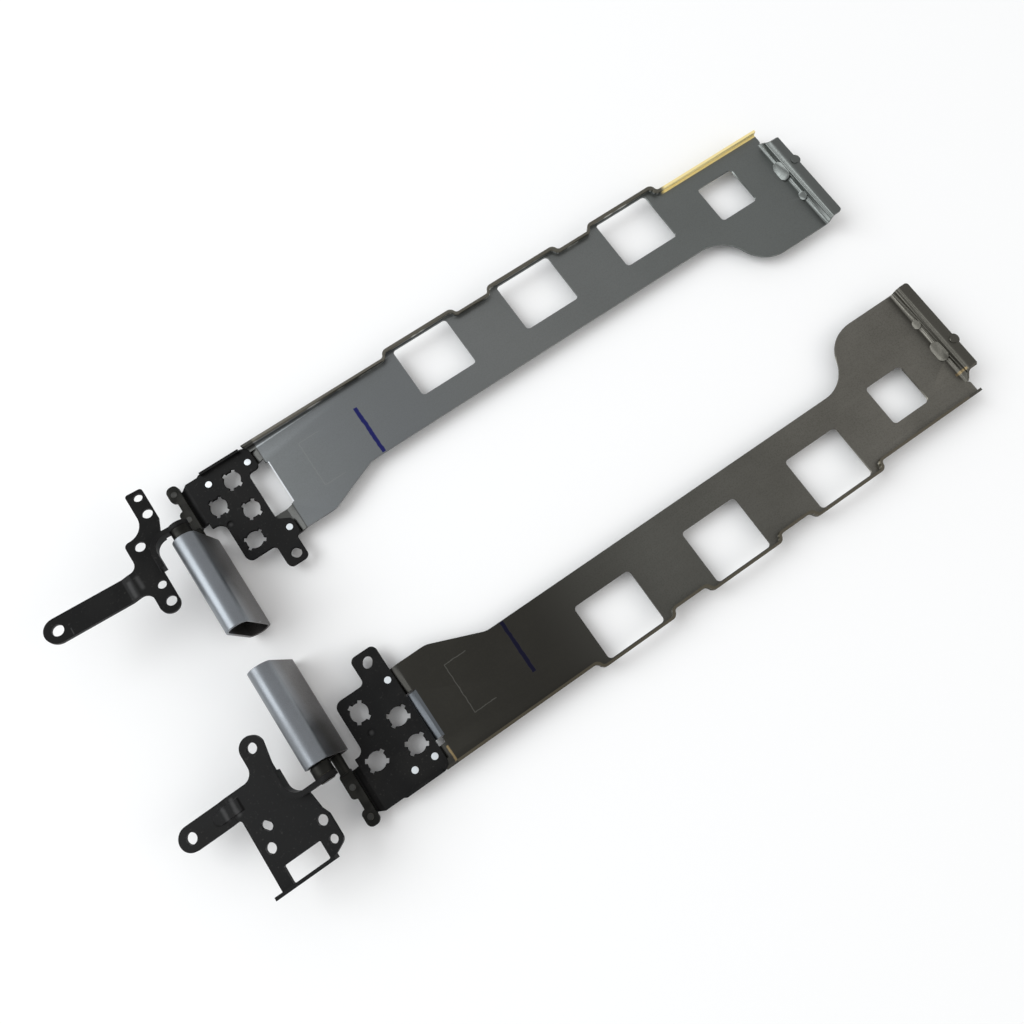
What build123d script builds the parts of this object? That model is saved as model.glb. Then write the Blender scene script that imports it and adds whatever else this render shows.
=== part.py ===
# A pair of screen hinges for a fold-over laptop, laid side by side.
#
# Each hinge has a long display rail, a black display bracket riveted to it, a tall link with two
# parallel shafts under a sleeve-shaped cover, and a black base bracket on the upper shaft.
# The left hinge is on the +Y side. X runs along the rails towards their far ends, Z is up.
# One hinge is drawn with x from the display shaft, y outwards from the rail's inner edge and z from
# the rail's top face. Lengths are in millimetres, angles in degrees.

import os
from math import cos, radians, sin, sqrt

from build123d import *

os.makedirs("parts", exist_ok=True)

# Place of the two hinges
PAIR_GAP = 60.6

# Pose in which the hinges lie
LEFT_LINK_LEAN = 6.3
RIGHT_LINK_LEAN = 9.7
LEFT_BASE_TILT = 9.0
RIGHT_BASE_TILT = -6.5

# Display rail
RAIL_THICKNESS = 0.8
RAIL_WIDTH = 25.0
RAIL_START = 26.6
RAIL_END = 215.0
LIP_HEIGHT = 1.75
LIP_FAR_INSET = 0.5
BULGE_DEPTH = 2.1
BULGE_LENGTH = 22.3
BULGE_RAMP = 3.0

# Windows of the rail
WINDOW_COUNT = 3
WINDOW_FIRST = 86.1
WINDOW_PITCH = 38.15
WINDOW_LENGTH = 19.3
WINDOW_WIDTH = 17.5
WINDOW_INSET = 8.5
WINDOW_RADIUS = 1.2
END_WINDOW_SIZE = 13.7
END_WINDOW_X = 194.1
END_WINDOW_Y = 11.2

# Inner edge of the rail
FLARE_DEPTH = 6.5
FLARE_START = 36.4
FLARE_END = 52.6
FLARE_RADIUS = 6.0
FOOT_DEPTH = 15.0
FOOT_START = 175.5
FOOT_END = 197.0

# Folded far end of the rail
FOLD_RADIUS = 0.9
FLANGE_RISE = 4.0
FLANGE_WIDTH = 3.9
FLANGE_OUTER_Y = 16.9
FLANGE_SLOPE = 3.1
FLANGE_CORNER = 1.0
NOTCH_RADIUS = 1.8
BOSS_Y = 7.4
BOSS_RADIUS = 1.25
BOSS_HEIGHT = 0.4
BOSS_EDGE_RADIUS = 1.8
DART_Y = 7.75
DART_LENGTH = 6.6
DART_REACH = 2.3
GUSSET_Y = -2.9
GUSSET_LENGTH = 3.0
GUSSET_REACH = 1.5

# Lowered legs of the rail
STEP_LENGTH = 2.0
OUTER_LEG_END = 7.4
OUTER_LEG_LOW = 18.6
OUTER_LEG_HIGH = 24.2
INNER_LEG_END = 17.4
INNER_LEG_HIGH = 1.75
LEG_CORNER = 1.2
TONGUE_REACH = 0.6
TONGUE_GAP = 0.4
BAY_LOW = 2.0
BAY_HIGH = 17.1
BAY_DEPTH = 0.8
BAY_RADIUS = 0.7

# Display brackets
BRACKET_THICKNESS = 1.2
BRACKET_RAIL_GAP = 0.1
BRACKET_OUTER_Y = 24.9
BRACKET_STEP_DEPTH = 0.5
BRACKET_STEP_RAMP = 0.9
BRACKET_CORNER = 2.5
BRACKET_LIP_HEIGHT = 1.2
BRACKET_LIP_THICKNESS = 0.8
BRACKET_BACK = 3.9
BRACKET_HEEL_Y = 8.6
BRACKET_BEND_ROUND = 0.5
JOGGLE_LENGTH = 1.8
JOGGLE_CORNER = 1.4
EAR_CORNER = 1.7
EAR_ROOT_ROUND = 1.5
KEY_RADIUS = 2.65
KEY_EAR_REACH = 3.35
KEY_EAR_WIDTH = 1.3
KEY_EAR_ANGLE = 32.0
KEY_RELIEF = 0.55
DIMPLE_RADIUS = 1.1
DIMPLE_DEPTH = 0.4
EAR_SLOT_WIDTH = 2.8
EAR_SLOT_LENGTH = 3.4
EAR_SLOT_ANGLE = 125.0

# Left display bracket; a key hole has its place and the turn of its ears
LEFT_STEP_X = 7.6
LEFT_BAY_X = 20.6
LEFT_BAY_LOW = 0.6
LEFT_BAY_ROUND = 1.1
LEFT_LOBE_ROUND = 1.4
LEFT_LOBE_Y = -1.6
LEFT_EAR_LOW_X = 16.5
LEFT_EAR_HIGH_X = 23.0
LEFT_EAR_END = -14.1
LEFT_PLATE_X = 7.6
LEFT_PLATE_Y = -6.0
LEFT_PLATE_ROUND = 2.0
LEFT_HEEL_ROUND = 3.0
LEFT_KEY_HOLES = [(15.9, 18.1, 90), (8.6, 13.2, 90), (16.2, 7.3, 90), (12.4, -1.1, 0)]
LEFT_RIVETS = [(22.4, 20.1), (9.6, 20.6), (22.6, -3.7)]
LEFT_DIMPLE = (8.9, 6.6)
LEFT_EAR_SLOT = (20.3, -11.2)

# Right display bracket
RIGHT_STEP_X = 9.5
RIGHT_EAR_LOW_X = 16.6
RIGHT_EAR_END = -14.85
RIGHT_PLATE_X = 6.75
RIGHT_PLATE_Y = -6.9
RIGHT_PLATE_ROUND = 2.2
RIGHT_HEEL_ROUND = 2.0
RIGHT_KEY_HOLES = [(19.9, 14.6, 0), (19.7, 5.6, 0), (8.6, 12.3, 0), (11.4, -1.25, 90)]
RIGHT_RIVETS = [(22.25, 20.1), (15.9, 20.1), (22.6, -4.2)]
RIGHT_DIMPLE = (11.4, 5.2)
RIGHT_EAR_SLOT = (20.5, -11.5)

# Rivets
RIVET_RADIUS = 0.7
RIVET_CLEARANCE = 0.03
RIVET_HEAD_RADIUS = 1.0
RIVET_HEAD_HEIGHT = 0.25
BLADE_RIVET_RADIUS = 0.9
BLADE_RIVET_PROUD = 0.1

# Shafts
SHAFT_SPACING = 13.0
SHAFT_RADIUS = 1.5
SHAFT_DROP = 0.25
COLLAR_RADIUS = 2.4
COLLAR_LENGTH = 1.2
COLLAR_INSET = 0.4
RUNNING_CLEARANCE = 0.05
FACE_GAP = 0.05
SHAFT_TAIL = 1.0

# Flat blade of the display shaft
BLADE_THICKNESS = 1.6
BLADE_FRONT = 1.75
BLADE_BACK = 2.0
BLADE_WAIST = 0.6
BLADE_START = 9.8
BLADE_END = 26.0
BLADE_ROUND = 1.2
BLADE_TIP_ROUND = 1.7
NECK_OVERLAP = 0.6
WAIST_LOW = 17.5
WAIST_HIGH = 21.0
BLADE_RIVET_X = -0.2
BLADE_RIVET_LOW = 14.35
BLADE_RIVET_HIGH = 23.35
SEAT_INSET = 0.25

# Link plates and cover
COVER_HEIGHT = 21.5
COVER_WIDTH = 7.1
COVER_LENGTH = 29.4
COVER_MOUTH_Y = 5.1
COVER_WALL = 0.8
LINK_THICKNESS = 1.5
LINK_CLEARANCE = 0.1

# Friction washers, spring washers and nuts
WASHER_RADIUS = 2.4
WASHER_THICKNESS = 0.9
WASHER_COUNT = 2
SPRING_RADIUS = 2.35
SPRING_THICKNESS = 0.45
SPRING_CONE = 0.5
SPRING_COUNT = 2
NUT_FLATS = 4.3
NUT_HEIGHT = 2.2

# Base brackets, from the base shaft's axis with the arm towards -X
BASE_THICKNESS = 1.4
BASE_DROP = 1.0
WALL_TOP = 1.8
EAR_Y = 8.4
EAR_RADIUS = 2.9
EAR_STRIP_LOW = 1.3
KNUCKLE_RADIUS = 2.8
KNUCKLE_GAP = 0.3
STAKE_RADIUS = 2.0
STAKE_HEIGHT = 0.35
J_RADIUS = 4.4
ARM_DROP = 0.9
ARM_JOGGLE = 2.4
ARM_OVERLAP = 0.2
SCREW_HOLE_RADIUS = 1.48
PIN_HOLE_RADIUS = 1.25
ARM_HOLE_RADIUS = 1.6

# Left base bracket: a tall tab above, a shoulder with the arm, and a round lug below
LEFT_WALL_X = 8.7
LEFT_WALL_END = 0.6
LEFT_ARM_Y = 0.85
LEFT_ARM_HALF = 3.55
LEFT_ARM_REACH = 38.8
LEFT_ARM_ROOT = 14.6
LEFT_ARM_ROUND = 2.4
LEFT_NECK = (-4.6, 11.4)
LEFT_NECK_ROUND = 1.2
LEFT_TAB_LOW = 15.0
LEFT_TAB_TOP = 25.0
LEFT_TAB_NEAR = -3.2
LEFT_TAB_FAR = -8.1
LEFT_TAB_CORNER = 0.8
LEFT_HOLLOW_RADIUS = 5.0
LEFT_SHOULDER_Y = 12.5
LEFT_SHOULDER_ROUND = 1.4
LEFT_LUG_X = -9.1
LEFT_LUG_Y = -7.8
LEFT_LUG_END = -10.9
LEFT_SCREW_HOLES = [(-5.2, 17.5), (-11.15, 9.95), (-11.2, -7.75)]
LEFT_PIN_HOLES = [(-5.2, 22.9), (-11.2, -2.5)]

# Right base bracket: a wide body with a window under a folded lip, a slot, the arm and a round lug
RIGHT_WALL_X = 10.7
RIGHT_WALL_END = 0.2
RIGHT_ARM_Y = 1.93
RIGHT_ARM_HALF = 3.55
RIGHT_ARM_REACH = 38.3
RIGHT_ARM_ROOT = 24.6
RIGHT_ARM_ROUND = 0.9
RIGHT_NECK_ROUND = 1.5
RIGHT_WAIST = (-5.6, 14.6)
RIGHT_LOBE_X = -4.6
RIGHT_LOBE_LOW = 16.9
RIGHT_LOBE_HIGH = 24.4
RIGHT_LOBE_ROUND = 2.0
RIGHT_LIP_Y = 26.2
RIGHT_LIP_LOW = 8.3
RIGHT_LIP_HIGH = 26.2
RIGHT_LIP_HEIGHT = 2.0
RIGHT_LIP_THICKNESS = 1.0
RIGHT_WINDOW_LOW = 10.0
RIGHT_WINDOW_HIGH = 21.2
RIGHT_WINDOW_Y = 21.15
RIGHT_WINDOW_CORNER = 0.4
RIGHT_LUG_FAR = -16.5
RIGHT_LUG_NEAR = -9.8
RIGHT_LUG_NECK = (-10.8, -2.3)
RIGHT_LUG_Y = -8.2
RIGHT_LUG_END = -11.6
RIGHT_LUG_ROUND = 3.0
RIGHT_BEAD_LENGTH = 9.0
RIGHT_BEAD_WIDTH = 3.6
RIGHT_BEAD_HEIGHT = 0.4
RIGHT_SCREW_HOLES = [(-6.9, 17.35), (-21.6, 15.7), (-13.1, -8.2)]
RIGHT_PIN_HOLES = [(-6.9, 22.8)]
RIGHT_SLOT = (-19.65, 10.4)
RIGHT_SLOT_LENGTH = 3.3
RIGHT_SLOT_WIDTH = 2.35
RIGHT_SLOT_ANGLE = 51.0

# Places that follow from the sizes above
SHAFT_Z = -SHAFT_DROP
JOGGLE_DEPTH = SHAFT_DROP + BLADE_THICKNESS / 2
FLANGE_BACK = BRACKET_BACK - JOGGLE_LENGTH
BRACKET_HEEL_TOP = BRACKET_OUTER_Y - BRACKET_STEP_DEPTH
LEG_TOP = -BRACKET_THICKNESS
LEG_START = RAIL_START - STEP_LENGTH
BRACKET_NEAR = LEG_START - BRACKET_RAIL_GAP
FIRST_LINK_Y = COVER_MOUTH_Y - COLLAR_INSET - COLLAR_LENGTH - FACE_GAP
WASHERS_Y = FIRST_LINK_Y - LINK_THICKNESS - FACE_GAP
WASHER_PITCH = WASHER_THICKNESS + FACE_GAP
SECOND_LINK_Y = WASHERS_Y - WASHER_COUNT * WASHER_PITCH
SPRINGS_Y = SECOND_LINK_Y - LINK_THICKNESS - FACE_GAP
SPRING_PITCH = SPRING_THICKNESS + SPRING_CONE + FACE_GAP
NUT_Y = SPRINGS_Y - SPRING_COUNT * SPRING_PITCH
SHAFT_TIP_Y = NUT_Y - NUT_HEIGHT - SHAFT_TAIL
BASE_TOP = -BASE_DROP
BASE_BOTTOM = -BASE_DROP - BASE_THICKNESS


def s_bend(start, end):
    """Two tangent arcs that lead from one run along X to a parallel run."""
    middle = ((start[0] + end[0]) / 2, (start[1] + end[1]) / 2)
    first = TangentArc(start, middle, tangent=(end[0] - start[0], 0))
    second = TangentArc(middle, end, tangent=first % 1)
    return [first, second]


def rounded_line(corners, close=False):
    """A line through corners that each have a place and a radius; an open line's ends need none."""
    points = [place for place, _ in corners]
    radii = [radius for _, radius in corners]
    if not close:
        radii = radii[1:-1]
    return FilletPolyline(*points, radius=radii, close=close)


def side_profile(points, low, high):
    """A solid with an outline in X and Z that runs from y = low to y = high."""
    return along_y(make_face(Polyline(*points, close=True)), low, high)


def along_y(face, low, high):
    """A solid with a section in X and Z that runs from y = low to y = high."""
    return extrude(Pos(0, low, 0) * (Plane.XZ * face), amount=high - low, dir=(0, 1, 0))


def plate(outline, bottom, thickness):
    """A flat plate on a face in X and Y."""
    return extrude(Pos(0, 0, bottom) * outline, amount=thickness)


def barrel(radius, low, high):
    """A round bar along Y about the origin."""
    return along_y(Circle(radius), low, high)


def post(radius, low, high):
    """A round bar along Z about the origin."""
    return plate(Circle(radius), low, high - low)


# Display rail


def lip_line():
    """Middle line of the rail's edge lip, with a bulge around each window."""
    y = RAIL_WIDTH - RAIL_THICKNESS / 2
    lines = []
    at = (RAIL_START, y)
    for number in range(WINDOW_COUNT):
        middle = WINDOW_FIRST + number * WINDOW_PITCH
        rise = (middle - BULGE_LENGTH / 2 - BULGE_RAMP, y)
        crest = (middle - BULGE_LENGTH / 2, y + BULGE_DEPTH)
        fall = (middle + BULGE_LENGTH / 2, y + BULGE_DEPTH)
        lines.append(Line(at, rise))
        lines += s_bend(rise, crest)
        lines.append(Line(crest, fall))
        if number == WINDOW_COUNT - 1:
            y -= LIP_FAR_INSET
        at = (middle + BULGE_LENGTH / 2 + BULGE_RAMP, y)
        lines += s_bend(fall, at)
    lines.append(Line(at, (RAIL_END, y)))
    return lines


def pressed_rib(face_x, y, length, reach):
    """A round-ended rib that the press leaves across a fold, as far along each of the two faces."""
    middle = (face_x - reach / 2, y, reach / 2)
    slot = SlotOverall(length, reach * sqrt(2))
    return extrude(Plane(middle, x_dir=(0, 1, 0), z_dir=(-1, 0, 1)) * slot, amount=-reach)


def rail_flange():
    """The far end of the rail, folded up and then out, with its dart, gusset and boss."""
    middle = RAIL_THICKNESS / 2
    riser_x = RAIL_END - middle
    outer = FLANGE_OUTER_Y + FLANGE_SLOPE
    tip = RAIL_END - RAIL_THICKNESS + FLANGE_WIDTH
    fold = FilletPolyline(
        (fold_start(), -middle),
        (riser_x, -middle),
        (riser_x, FLANGE_RISE - middle),
        (tip, FLANGE_RISE - middle),
        radius=FOLD_RADIUS + middle,
    )
    flange = along_y(trace(fold, RAIL_THICKNESS), -FOOT_DEPTH, outer)
    ribs = ((DART_Y, DART_LENGTH, DART_REACH), (GUSSET_Y, GUSSET_LENGTH, GUSSET_REACH))
    for y, length, reach in ribs:
        inside = Box(2 * reach, 2 * length, 2 * reach, align=(Align.MAX, Align.CENTER, Align.MIN))
        rib = pressed_rib(riser_x - middle, y, length, reach)
        flange += rib & Pos(riser_x, y, -middle) * inside
    above = 2 * FLANGE_RISE
    slope = [(outer, 0), (FLANGE_OUTER_Y, FLANGE_RISE), (FLANGE_OUTER_Y, above), (outer, above)]
    cut = Plane.YZ * make_face(Polyline(*slope, close=True))
    flange -= extrude(Pos(fold_start(), 0, 0) * cut, amount=2 * (tip - fold_start()), dir=(1, 0, 0))
    flange = fillet(flange.edges().filter_by(Axis.Z).group_by(Axis.X)[-1], FLANGE_CORNER)
    boss = Pos(tip - BOSS_EDGE_RADIUS + FLANGE_CORNER, BOSS_Y, 0)
    strip_low = FLANGE_RISE - RAIL_THICKNESS
    flange += boss * post(BOSS_EDGE_RADIUS, strip_low, FLANGE_RISE)
    flange += boss * post(BOSS_RADIUS, strip_low, FLANGE_RISE + BOSS_HEIGHT)
    return flange


def fold_start():
    """Where the rail's flat ends and its first fold begins."""
    return RAIL_END - 2 * RAIL_THICKNESS - 2 * FOLD_RADIUS


def rail_leg(end, low, high, corner):
    """A leg of the rail that steps down under the display bracket."""
    points = [
        (end, LEG_TOP),
        (LEG_START, LEG_TOP),
        (RAIL_START, 0),
        (RAIL_START + 2 * BAY_DEPTH, 0),
        (RAIL_START + 2 * BAY_DEPTH, -RAIL_THICKNESS),
        (RAIL_START, -RAIL_THICKNESS),
        (LEG_START, LEG_TOP - RAIL_THICKNESS),
        (end, LEG_TOP - RAIL_THICKNESS),
    ]
    leg = side_profile(points, low, high)
    corners = leg.edges().filter_by(Axis.Z).sort_by(Axis.X)[:2]
    return fillet(corners, corner)


def rail_corner():
    """The rail's outer corner, which reaches round the rounded corner of the display bracket."""
    centre_x = BRACKET_NEAR - BRACKET_CORNER
    centre_y = BRACKET_OUTER_Y - BRACKET_CORNER
    start = centre_x + BRACKET_CORNER / 2
    length = RAIL_START + BAY_DEPTH - start
    width = RAIL_WIDTH - centre_y
    face = Pos(start + length / 2, centre_y + width / 2) * Rectangle(length, width)
    face -= Pos(centre_x, centre_y) * Circle(BRACKET_CORNER + BRACKET_RAIL_GAP)
    corner = plate(face, LEG_TOP - RAIL_THICKNESS, RAIL_THICKNESS - LEG_TOP)
    lip = Pos(start + length / 2, RAIL_WIDTH - RAIL_THICKNESS / 2) * Rectangle(length, RAIL_THICKNESS)
    lip -= Pos(centre_x, centre_y) * Circle(BRACKET_CORNER + BRACKET_RAIL_GAP)
    return corner + plate(lip, -RAIL_THICKNESS, RAIL_THICKNESS + LIP_HEIGHT)


def rail_outline():
    """Outline of the rail's flat, from the lip round the far corner and back along the inner edge."""
    lip_path = lip_line()
    notch_y = FLANGE_OUTER_Y + FLANGE_SLOPE
    edge = list(lip_path)
    edge.append(
        rounded_line(
            [
                (lip_path[-1] @ 1, 0),
                ((RAIL_END, notch_y), NOTCH_RADIUS / 2),
                ((fold_start(), notch_y), NOTCH_RADIUS / 4),
                ((fold_start(), -FOOT_DEPTH), 0),
            ]
        )
    )
    edge.append(Line((fold_start(), -FOOT_DEPTH), (FOOT_END, -FOOT_DEPTH)))
    edge += s_bend((FOOT_END, -FOOT_DEPTH), (FOOT_START, 0))
    edge.append(
        FilletPolyline(
            (FOOT_START, 0),
            (FLARE_END, 0),
            (FLARE_START, -FLARE_DEPTH),
            (RAIL_START, -FLARE_DEPTH),
            radius=FLARE_RADIUS,
        )
    )
    edge.append(Line((RAIL_START, -FLARE_DEPTH), lip_path[0] @ 0))
    return make_face(edge), trace(lip_path, RAIL_THICKNESS)


def display_rail(key_holes, rivet_places, has_tongue):
    """The long strip with its windows, lip, folded far end and lowered legs, and a tongue on request."""
    flat, lip_face = rail_outline()
    flat += lip_face
    window = RectangleRounded(WINDOW_LENGTH, WINDOW_WIDTH, WINDOW_RADIUS)
    for number in range(WINDOW_COUNT):
        middle = WINDOW_FIRST + number * WINDOW_PITCH
        flat -= Pos(middle, WINDOW_INSET + WINDOW_WIDTH / 2) * window
    end_window = RectangleRounded(END_WINDOW_SIZE, END_WINDOW_SIZE, WINDOW_RADIUS)
    flat -= Pos(END_WINDOW_X, END_WINDOW_Y) * end_window
    bay = RectangleRounded(2 * BAY_DEPTH, BAY_HIGH - BAY_LOW, BAY_RADIUS)
    flat -= Pos(RAIL_START, (BAY_LOW + BAY_HIGH) / 2) * bay
    rail = plate(flat, -RAIL_THICKNESS, RAIL_THICKNESS)
    rail += plate(lip_face, -RAIL_THICKNESS, RAIL_THICKNESS + LIP_HEIGHT)
    rail += rail_flange()
    rail += rail_leg(OUTER_LEG_END, OUTER_LEG_LOW, OUTER_LEG_HIGH, LEG_CORNER)
    rail += rail_leg(INNER_LEG_END, -FLARE_DEPTH, INNER_LEG_HIGH, LEG_CORNER)
    if has_tongue:
        tongue_end = LEG_START - TONGUE_REACH
        rail += rail_leg(tongue_end, BAY_LOW + TONGUE_GAP, BAY_HIGH - TONGUE_GAP, TONGUE_REACH / 2)
    rail += rail_corner()
    for x, y, _ in key_holes:
        relief = post(KEY_EAR_REACH + KEY_RELIEF, 2 * LEG_TOP, 0)
        rail -= Pos(x, y, 0) * relief
    for x, y in rivet_places:
        rail -= Pos(x, y, 0) * post(RIVET_RADIUS + RIVET_CLEARANCE, 2 * LEG_TOP, 0)
    return rail


# Display brackets


def key_hole():
    """A round hole with four small ears."""
    hole = Circle(KEY_RADIUS)
    for angle in (-KEY_EAR_ANGLE, KEY_EAR_ANGLE):
        hole += Rot(0, 0, angle) * Rectangle(2 * KEY_EAR_REACH, KEY_EAR_WIDTH)
    return hole


def blade_outline(inset):
    """Outline of the shaft's blade, with a waist between its two rivets and a round tip."""
    front = BLADE_FRONT - inset
    back = -BLADE_BACK + inset
    waist = -BLADE_WAIST + inset
    low = BLADE_START + inset
    high = BLADE_END - inset
    corners = [
        ((front, low), BLADE_ROUND / 4),
        ((front, high), BLADE_TIP_ROUND - inset),
        ((back, high), BLADE_TIP_ROUND - inset),
        ((back, WAIST_HIGH + inset), BLADE_ROUND),
        ((waist, WAIST_HIGH + inset), BLADE_ROUND / 4),
        ((waist, WAIST_LOW - inset), BLADE_ROUND / 4),
        ((back, WAIST_LOW - inset), BLADE_ROUND),
        ((back, low), BLADE_ROUND),
    ]
    return make_face(rounded_line(corners, close=True))


def display_bracket(outline, step_x, key_holes, rivet_places, dimple, ear_slot):
    """The black plate between the rail and the display shaft's blade."""
    for x, y, turn in key_holes:
        outline -= Pos(x, y) * Rot(0, 0, turn) * key_hole()
    slot = SlotOverall(EAR_SLOT_LENGTH, EAR_SLOT_WIDTH)
    outline -= Pos(*ear_slot) * Rot(0, 0, EAR_SLOT_ANGLE) * slot
    for x, y in rivet_places:
        outline -= Pos(x, y) * Circle(RIVET_RADIUS + RIVET_CLEARANCE)
    bracket = plate(outline, -BRACKET_THICKNESS, BRACKET_THICKNESS)
    bracket -= Pos(*dimple, 0) * post(DIMPLE_RADIUS, -DIMPLE_DEPTH, DIMPLE_DEPTH)
    lip_low = step_x + BRACKET_STEP_RAMP + BRACKET_BEND_ROUND
    lip_length = BRACKET_NEAR - BRACKET_CORNER - lip_low
    lip_y = BRACKET_OUTER_Y - BRACKET_LIP_THICKNESS / 2
    lip = Pos(lip_low + lip_length / 2, lip_y) * Rectangle(lip_length, BRACKET_LIP_THICKNESS)
    bracket += plate(lip, -BRACKET_THICKNESS, BRACKET_THICKNESS + BRACKET_LIP_HEIGHT)
    low = BLADE_FRONT - SEAT_INSET - NECK_OVERLAP
    slope = [
        (BRACKET_BACK, 0),
        (FLANGE_BACK, -JOGGLE_DEPTH),
        (low, -JOGGLE_DEPTH),
        (low, -JOGGLE_DEPTH - BRACKET_THICKNESS),
        (FLANGE_BACK, -JOGGLE_DEPTH - BRACKET_THICKNESS),
        (BRACKET_BACK, -BRACKET_THICKNESS),
    ]
    seat_low = BLADE_START + NECK_OVERLAP + SEAT_INSET
    joggle = side_profile(slope, seat_low, BRACKET_HEEL_TOP)
    corners = [
        (BRACKET_BACK, seat_low),
        (BRACKET_BACK, BRACKET_HEEL_TOP),
        (low, BRACKET_HEEL_TOP - JOGGLE_CORNER),
        (low, seat_low),
    ]
    room = make_face(Polyline(*corners, close=True))
    bracket += joggle & plate(room, 2 * LEG_TOP - JOGGLE_DEPTH, 2 * (JOGGLE_DEPTH - LEG_TOP))
    seat = blade_outline(SEAT_INSET)
    seat -= Pos(0, BLADE_START) * Rectangle(4 * BLADE_BACK, 2 * (seat_low - BLADE_START))
    for y in (BLADE_RIVET_LOW, BLADE_RIVET_HIGH):
        seat -= Pos(BLADE_RIVET_X, y) * Circle(BLADE_RIVET_RADIUS + RIVET_CLEARANCE)
    bracket += plate(seat, -JOGGLE_DEPTH - BRACKET_THICKNESS, BRACKET_THICKNESS)
    return bracket


def bracket_head(step_x):
    """The corners that both plates share, along the outer edge from the joggle to the rail."""
    return [
        ((BRACKET_BACK, BRACKET_HEEL_Y), BRACKET_BEND_ROUND / 4),
        ((BRACKET_BACK, BRACKET_HEEL_TOP), BRACKET_BEND_ROUND / 4),
        ((step_x, BRACKET_HEEL_TOP), BRACKET_BEND_ROUND),
        ((step_x + BRACKET_STEP_RAMP, BRACKET_OUTER_Y), BRACKET_BEND_ROUND),
        ((BRACKET_NEAR, BRACKET_OUTER_Y), BRACKET_CORNER),
    ]


def left_display_bracket_outline():
    """Plate outline of the left display bracket, with a bay on its rail side and one hanging ear."""
    corners = bracket_head(LEFT_STEP_X) + [
        ((BRACKET_NEAR, BAY_HIGH), LEFT_LOBE_ROUND),
        ((LEFT_BAY_X, BAY_HIGH), LEFT_BAY_ROUND),
        ((LEFT_BAY_X, LEFT_BAY_LOW), LEFT_BAY_ROUND),
        ((BRACKET_NEAR, LEFT_LOBE_Y), LEFT_LOBE_ROUND),
        ((BRACKET_NEAR, -FLARE_DEPTH), LEFT_LOBE_ROUND),
        ((LEFT_EAR_HIGH_X, -FLARE_DEPTH - BRACKET_BEND_ROUND), BRACKET_BEND_ROUND),
        ((LEFT_EAR_HIGH_X, LEFT_EAR_END), EAR_CORNER),
        ((LEFT_EAR_LOW_X, LEFT_EAR_END), EAR_CORNER),
        ((LEFT_EAR_LOW_X, LEFT_PLATE_Y), EAR_ROOT_ROUND),
        ((LEFT_PLATE_X, LEFT_PLATE_Y), LEFT_PLATE_ROUND),
        ((LEFT_PLATE_X, BRACKET_HEEL_Y), LEFT_HEEL_ROUND),
    ]
    return make_face(rounded_line(corners, close=True))


def right_display_bracket_outline():
    """Plate outline of the right display bracket, straight on its rail side, with one hanging ear."""
    corners = bracket_head(RIGHT_STEP_X) + [
        ((BRACKET_NEAR, RIGHT_EAR_END), EAR_CORNER),
        ((RIGHT_EAR_LOW_X, RIGHT_EAR_END), EAR_CORNER),
        ((RIGHT_EAR_LOW_X, RIGHT_PLATE_Y), EAR_ROOT_ROUND),
        ((RIGHT_PLATE_X, RIGHT_PLATE_Y), RIGHT_PLATE_ROUND),
        ((RIGHT_PLATE_X, BRACKET_HEEL_Y), RIGHT_HEEL_ROUND),
    ]
    return make_face(rounded_line(corners, close=True))


def bracket_rivets(places):
    """The flat-headed rivets that hold the display bracket on the rail's legs."""
    shank = post(RIVET_RADIUS, LEG_TOP - RAIL_THICKNESS, 0)
    rivet = shank + post(RIVET_HEAD_RADIUS, 0, RIVET_HEAD_HEIGHT)
    return [Pos(x, y, 0) * rivet for x, y in places]


def blade_rivets():
    """The two rivets, staked almost flush, that hold the shaft's blade on the display bracket."""
    top = SHAFT_Z + BLADE_THICKNESS / 2 + BLADE_RIVET_PROUD
    pin = post(BLADE_RIVET_RADIUS, -JOGGLE_DEPTH - BRACKET_THICKNESS, top)
    return [Pos(BLADE_RIVET_X, y, 0) * pin for y in (BLADE_RIVET_LOW, BLADE_RIVET_HIGH)]


# Shafts and what is stacked on them, drawn about the shaft's own axis


def display_shaft():
    """The lower shaft: a flat blade outside the cover and a round shaft with a collar inside it."""
    blade = plate(blade_outline(0), -BLADE_THICKNESS / 2, BLADE_THICKNESS)
    hole = post(BLADE_RIVET_RADIUS + RIVET_CLEARANCE, -BLADE_THICKNESS, BLADE_THICKNESS)
    for y in (BLADE_RIVET_LOW, BLADE_RIVET_HIGH):
        blade -= Pos(BLADE_RIVET_X, y, 0) * hole
    neck = barrel(SHAFT_RADIUS, SHAFT_TIP_Y, BLADE_START + NECK_OVERLAP)
    collar_low = COVER_MOUTH_Y - COLLAR_INSET - COLLAR_LENGTH
    collar = barrel(COLLAR_RADIUS, collar_low, COVER_MOUTH_Y - COLLAR_INSET)
    return blade + neck + collar


def base_shaft():
    """The upper shaft: staked through the ear, with a thick knuckle outside the cover."""
    shaft = barrel(SHAFT_RADIUS, SHAFT_TIP_Y, EAR_Y + BASE_THICKNESS)
    knuckle = barrel(KNUCKLE_RADIUS, COVER_MOUTH_Y + KNUCKLE_GAP, EAR_Y)
    collar_low = COVER_MOUTH_Y - COLLAR_INSET - COLLAR_LENGTH
    collar = barrel(COLLAR_RADIUS, collar_low, COVER_MOUTH_Y + KNUCKLE_GAP)
    stake_low = EAR_Y + BASE_THICKNESS
    stake = barrel(STAKE_RADIUS, stake_low, stake_low + STAKE_HEIGHT)
    return shaft + knuckle + collar + stake


def friction_washers():
    """Flat washers between the two link plates."""
    ring = Circle(WASHER_RADIUS) - Circle(SHAFT_RADIUS + RUNNING_CLEARANCE)
    tops = [WASHERS_Y - number * WASHER_PITCH for number in range(WASHER_COUNT)]
    return [along_y(ring, top - WASHER_THICKNESS, top) for top in tops]


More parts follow.
